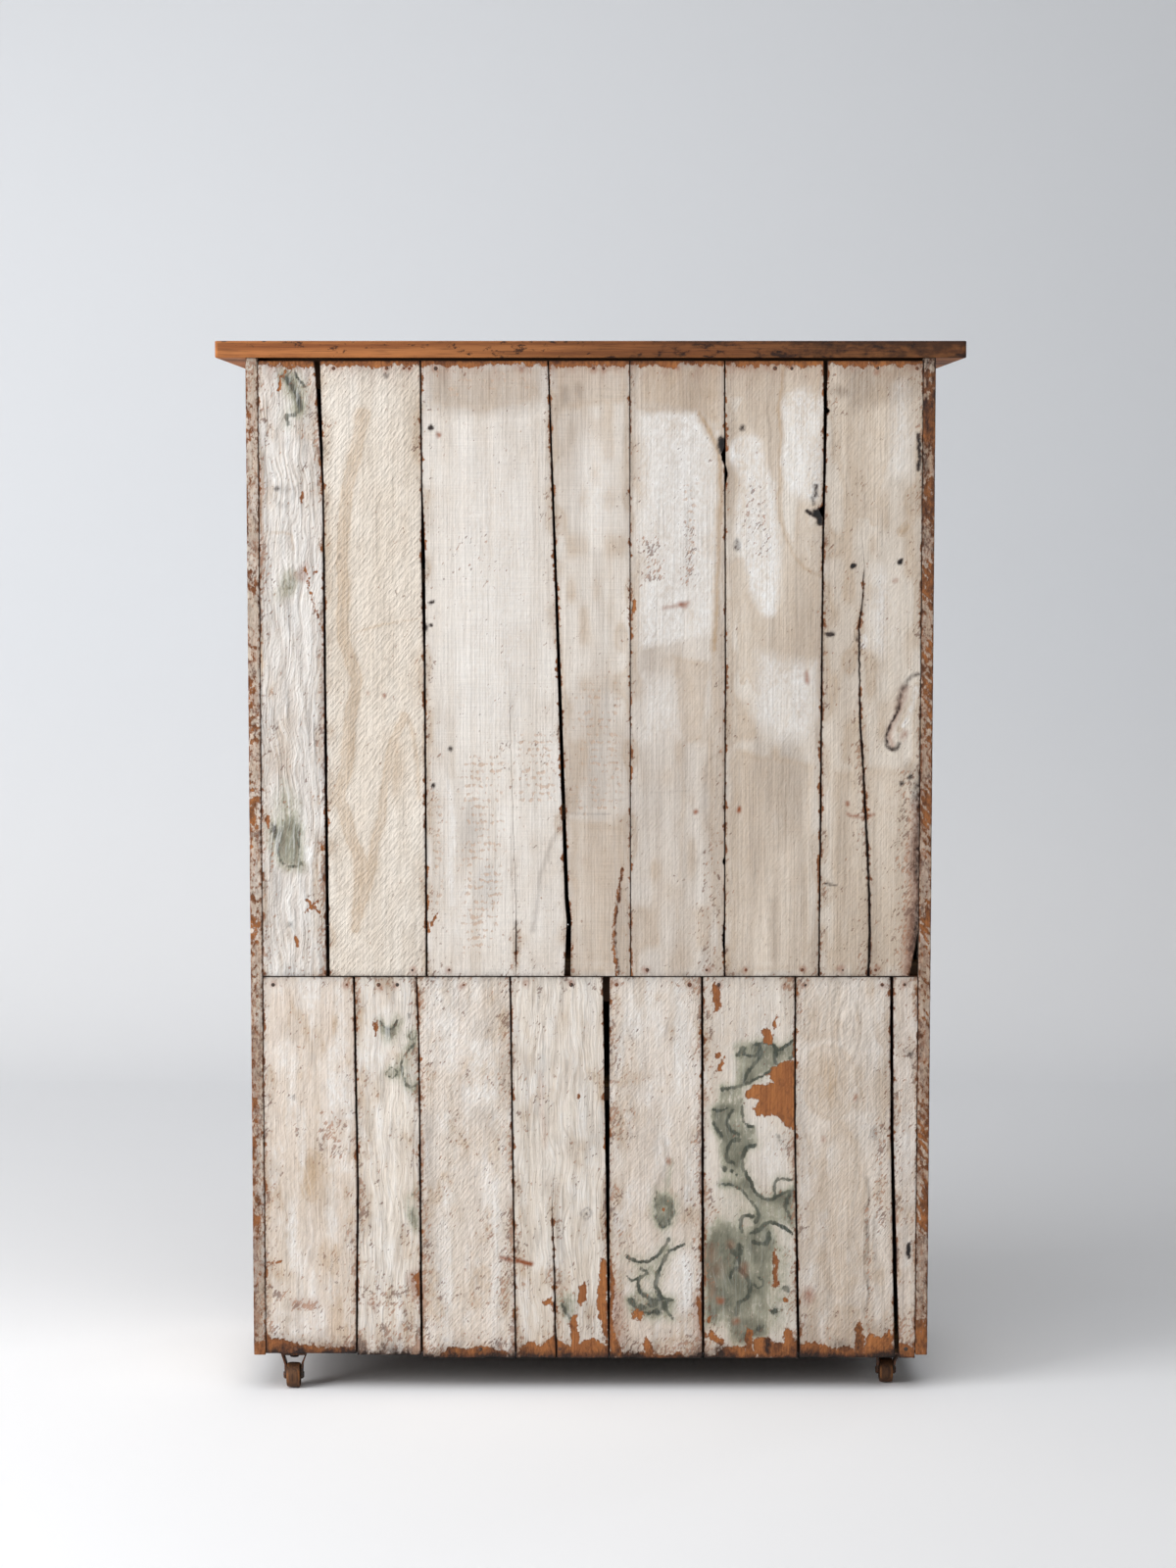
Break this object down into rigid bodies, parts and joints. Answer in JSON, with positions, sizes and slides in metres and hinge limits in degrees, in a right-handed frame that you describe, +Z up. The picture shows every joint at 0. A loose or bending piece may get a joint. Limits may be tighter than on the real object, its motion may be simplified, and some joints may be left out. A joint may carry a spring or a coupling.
{
  "type": "cupboard",
  "caption": "Tall painted wooden cupboard on casters, with framed upper and lower doors, inner shelves, turn buttons and a back of reclaimed painted boards.",
  "frame": {"origin": "on the floor, under the middle of the top board's rectangle, which is the middle of the whole outline", "axes": "+Z up; the doors face -Y and the boarded back, which the picture shows, faces +Y; +X is to the right of someone who faces the doors"},
  "size_m": [0.994, 0.44, 1.416],
  "materials": {
    "aged_paint": "aged cream-white paint, worn to the wood",
    "stained_pine": "worn dark orange-brown stain",
    "bare_pine": "aged bare wood",
    "turned_wood": "waxed brown wood",
    "caster_wood": "dark worn wood",
    "dark_iron": "dark oiled iron with some rust"
  },
  "bodies": {
    "case": {"top_board": "stained_pine", "left_side_board": "aged_paint", "right_side_board": "aged_paint", "floor_board": "bare_pine", "middle_shelf": "bare_pine", "upper_shelves": "bare_pine", "lower_shelf": "bare_pine", "shelf_cleats": "bare_pine", "back_rails": "bare_pine", "left_stile": "aged_paint", "right_stile": "aged_paint", "centre_stiles": "aged_paint", "top_rail": "aged_paint", "middle_rail": "aged_paint", "bottom_rail": "aged_paint", "upper_back_board_1": "aged_paint", "upper_back_board_2": "aged_paint", "upper_back_board_3": "aged_paint", "upper_back_board_4": "aged_paint", "upper_back_board_5": "aged_paint", "upper_back_board_6": "aged_paint", "upper_back_board_7": "aged_paint", "lower_back_board_1": "aged_paint", "lower_back_board_2": "aged_paint", "lower_back_board_3": "aged_paint", "lower_back_board_4": "aged_paint", "lower_back_board_5": "aged_paint", "lower_back_board_6": "aged_paint", "lower_back_board_7": "aged_paint", "lower_back_board_8": "aged_paint", "case_hinge_leaves": "dark_iron", "hinge_pins": "dark_iron", "turn_button_screws": "dark_iron", "caster_plates": "dark_iron"},
    "upper_left_door": {"upper_left_door_frame": "aged_paint", "upper_left_door_panel": "aged_paint", "upper_left_knob": "turned_wood", "upper_left_hinge_leaves": "dark_iron"},
    "upper_right_door": {"upper_right_door_frame": "aged_paint", "upper_right_door_panel": "aged_paint", "upper_right_knob": "turned_wood", "upper_right_hinge_leaves": "dark_iron"},
    "lower_left_door": {"lower_left_door_frame": "aged_paint", "lower_left_door_panel": "aged_paint", "lower_left_knob": "turned_wood", "lower_left_hinge_leaves": "dark_iron"},
    "lower_right_door": {"lower_right_door_frame": "aged_paint", "lower_right_door_panel": "aged_paint", "lower_right_knob": "turned_wood", "lower_right_hinge_leaves": "dark_iron"},
    "upper_turn_button": {"upper_turn_button": "turned_wood"},
    "lower_turn_button": {"lower_turn_button": "turned_wood"},
    "rear_left_caster_fork": {"rear_left_caster_fork": "dark_iron"},
    "rear_left_caster_wheel": {"rear_left_caster_wheel": "caster_wood"},
    "rear_right_caster_fork": {"rear_right_caster_fork": "dark_iron"},
    "rear_right_caster_wheel": {"rear_right_caster_wheel": "caster_wood"},
    "front_left_caster_fork": {"front_left_caster_fork": "dark_iron"},
    "front_left_caster_wheel": {"front_left_caster_wheel": "caster_wood"},
    "front_right_caster_fork": {"front_right_caster_fork": "dark_iron"},
    "front_right_caster_wheel": {"front_right_caster_wheel": "caster_wood"}
  },
  "joints": [
    {"name": "upper_left_door_swing", "type": "hinge", "parent": "case", "child": "upper_left_door", "pos_m": [-0.398, -0.1944, 0.96], "axis": [0, 0, -1], "range_deg": [0, 170]},
    {"name": "upper_right_door_swing", "type": "hinge", "parent": "case", "child": "upper_right_door", "pos_m": [0.398, -0.1944, 0.96], "axis": [0, 0, 1], "range_deg": [0, 170]},
    {"name": "lower_left_door_swing", "type": "hinge", "parent": "case", "child": "lower_left_door", "pos_m": [-0.398, -0.1944, 0.303], "axis": [0, 0, -1], "range_deg": [0, 170]},
    {"name": "lower_right_door_swing", "type": "hinge", "parent": "case", "child": "lower_right_door", "pos_m": [0.398, -0.1944, 0.303], "axis": [0, 0, 1], "range_deg": [0, 170]},
    {"name": "upper_button_turn", "type": "hinge", "parent": "case", "child": "upper_turn_button", "pos_m": [0, -0.1971, 0.96], "axis": [0, 1, 0], "range_deg": [0, 90]},
    {"name": "lower_button_turn", "type": "hinge", "parent": "case", "child": "lower_turn_button", "pos_m": [0, -0.1971, 0.3455], "axis": [0, 1, 0], "range_deg": [0, 90]},
    {"name": "rear_left_caster_swivel", "type": "hinge", "parent": "case", "child": "rear_left_caster_fork", "pos_m": [-0.405, 0.18, 0.0446], "axis": [0, 0, 1], "continuous": true},
    {"name": "rear_left_wheel_spin", "type": "hinge", "parent": "rear_left_caster_fork", "child": "rear_left_caster_wheel", "pos_m": [-0.405, 0.167, 0.017], "axis": [1, 0, 0], "continuous": true},
    {"name": "rear_right_caster_swivel", "type": "hinge", "parent": "case", "child": "rear_right_caster_fork", "pos_m": [0.405, 0.18, 0.0446], "axis": [0, 0, 1], "continuous": true},
    {"name": "rear_right_wheel_spin", "type": "hinge", "parent": "rear_right_caster_fork", "child": "rear_right_caster_wheel", "pos_m": [0.405, 0.193, 0.017], "axis": [1, 0, 0], "continuous": true},
    {"name": "front_left_caster_swivel", "type": "hinge", "parent": "case", "child": "front_left_caster_fork", "pos_m": [-0.405, -0.148, 0.0446], "axis": [0, 0, 1], "continuous": true},
    {"name": "front_left_wheel_spin", "type": "hinge", "parent": "front_left_caster_fork", "child": "front_left_caster_wheel", "pos_m": [-0.405, -0.135, 0.017], "axis": [1, 0, 0], "continuous": true},
    {"name": "front_right_caster_swivel", "type": "hinge", "parent": "case", "child": "front_right_caster_fork", "pos_m": [0.405, -0.148, 0.0446], "axis": [0, 0, 1], "continuous": true},
    {"name": "front_right_wheel_spin", "type": "hinge", "parent": "front_right_caster_fork", "child": "front_right_caster_wheel", "pos_m": [0.405, -0.161, 0.017], "axis": [1, 0, 0], "continuous": true}
  ]
}
